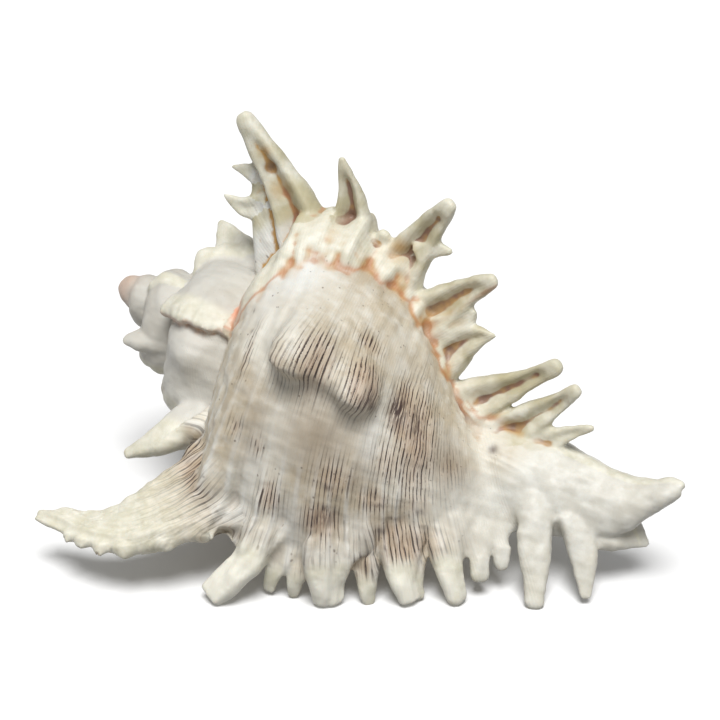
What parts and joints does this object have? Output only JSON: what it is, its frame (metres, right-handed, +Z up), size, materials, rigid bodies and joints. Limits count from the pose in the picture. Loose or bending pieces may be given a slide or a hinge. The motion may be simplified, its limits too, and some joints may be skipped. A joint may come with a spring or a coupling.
{
  "type": "murex shell",
  "caption": "Branched murex sea shell at rest on its spines, with a knobbed body whorl, short spire, open mouth and upturned siphonal canal.",
  "frame": {"origin": "middle of the bounding box's underside, on the surface that the spine tips stand on", "axes": "+X runs level along the shell from the spire to the siphonal canal, +Z is up, the side seen in a front view faces -Y"},
  "size_m": [0.1822, 0.1262, 0.1234],
  "materials": {
    "shell": "satin"
  },
  "bodies": {
    "root": {"shell": "shell"}
  },
  "joints": []
}
